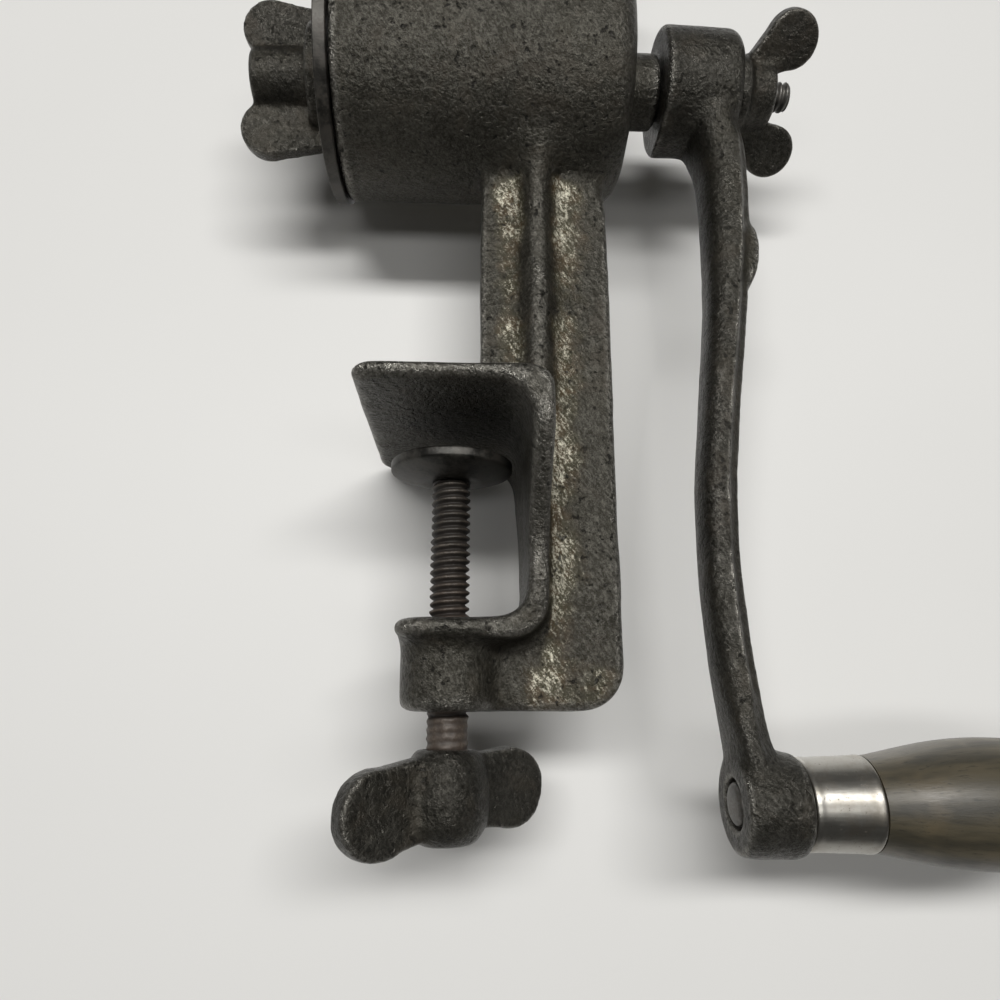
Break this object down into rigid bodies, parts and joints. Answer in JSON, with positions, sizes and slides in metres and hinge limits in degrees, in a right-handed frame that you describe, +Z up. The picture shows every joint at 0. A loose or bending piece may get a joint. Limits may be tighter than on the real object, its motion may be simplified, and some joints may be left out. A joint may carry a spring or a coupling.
{
  "type": "manual meat grinder",
  "caption": "Hand cranked cast iron meat grinder with hopper, feed worm, cutter plate, wing nuts, wooden crank grip and a table screw clamp.",
  "frame": {"origin": "on the underside of the clamp's jaw plate, on the clamp screw's axis", "axes": "+X along the barrel towards the crank, +Y away from the picture's viewer, +Z up"},
  "size_m": [0.2528, 0.0828, 0.3134],
  "materials": {
    "iron": "pitted, worn tin plating",
    "worn_iron": "worn smooth",
    "steel": "dull",
    "screw_steel": "browned with rust",
    "nickel": "polished nickel plate",
    "wood": "oiled, worn"
  },
  "bodies": {
    "frame": {"body_casting": "iron"},
    "worm": {"worm_shaft": "steel", "worm_core": "worn_iron", "worm_flight": "worn_iron", "thrust_washer": "steel"},
    "cutter": {"cutter_plate": "worn_iron"},
    "front_nut": {"front_thumb_nut": "iron"},
    "crank": {"crank_arm": "iron", "handle_spindle": "steel", "spindle_washer": "steel"},
    "crank_nut": {"crank_thumb_nut": "iron"},
    "grip": {"grip_ferrule": "nickel", "wooden_grip": "wood"},
    "pad": {"clamp_pad": "iron"},
    "screw": {"clamp_screw": "screw_steel", "clamp_wing": "iron"}
  },
  "joints": [
    {"name": "crank_turn", "type": "hinge", "parent": "frame", "child": "worm", "pos_m": [0, 0, 0.1183], "axis": [1, 0, 0], "continuous": true},
    {"name": "cutter_slide", "type": "slide", "parent": "worm", "child": "cutter", "axis": [-1, 0, 0], "range_m": [0, 0.008]},
    {"name": "front_nut_turn", "type": "hinge", "parent": "cutter", "child": "front_nut", "pos_m": [0, 0, 0.1183], "axis": [-1, 0, 0], "range_deg": [0, 1361.1]},
    {"name": "crank_slide", "type": "slide", "parent": "worm", "child": "crank", "axis": [1, 0, 0], "range_m": [0, 0.008]},
    {"name": "crank_nut_turn", "type": "hinge", "parent": "crank", "child": "crank_nut", "pos_m": [0, 0, 0.1183], "axis": [1, 0, 0], "range_deg": [0, 1361.1]},
    {"name": "grip_spin", "type": "hinge", "parent": "crank", "child": "grip", "pos_m": [0, 0, -0.0983], "axis": [1, 0, 0], "continuous": true},
    {"name": "screw_travel", "type": "slide", "parent": "frame", "child": "pad", "axis": [0, 0, 1], "range_m": [-0.0369, 0.0065]},
    {"name": "screw_turn", "type": "hinge", "parent": "pad", "child": "screw", "pos_m": [0, 0, 0], "axis": [0, 0, 1], "range_deg": [-6276.4, 1106]}
  ],
  "couplings": [
    {"joint": "front_nut_turn", "follows": "cutter_slide", "rad_per_m": 2968.4},
    {"joint": "crank_nut_turn", "follows": "crank_slide", "rad_per_m": 2968.4},
    {"joint": "screw_turn", "follows": "screw_travel", "rad_per_m": 2968.4}
  ]
}
